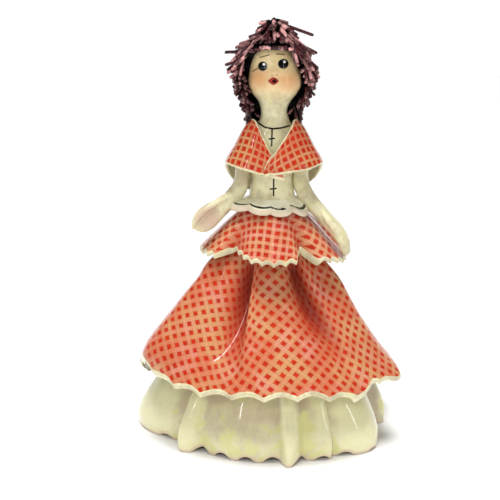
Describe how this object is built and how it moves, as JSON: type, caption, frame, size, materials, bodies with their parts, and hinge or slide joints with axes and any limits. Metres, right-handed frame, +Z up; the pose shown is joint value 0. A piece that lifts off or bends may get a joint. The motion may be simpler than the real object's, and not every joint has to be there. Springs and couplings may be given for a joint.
{
  "type": "ceramic girl figurine",
  "caption": "Hand-built glazed ceramic figurine of a standing girl in a wide pleated skirt, peplum and shawl, hollow underneath, standing on the points of the petticoat's hem.",
  "frame": {"origin": "on the table, under the middle of the figurine's box", "axes": "+Z up, front of the figure towards -Y, +X to the viewer's right when facing its front"},
  "size_m": [0.194, 0.1884, 0.3],
  "materials": {
    "cream_glaze": "glossy cream glaze over pale clay, bare and pinkish at thin edges",
    "check_glaze": "glossy clear glaze over a painted check of deep red squares on salmon",
    "hair_glaze": "black glaze on the cap, thin satin mauve glaze on the strands"
  },
  "bodies": {
    "root": {"girl_figurine": "cream_glaze"}
  },
  "joints": []
}
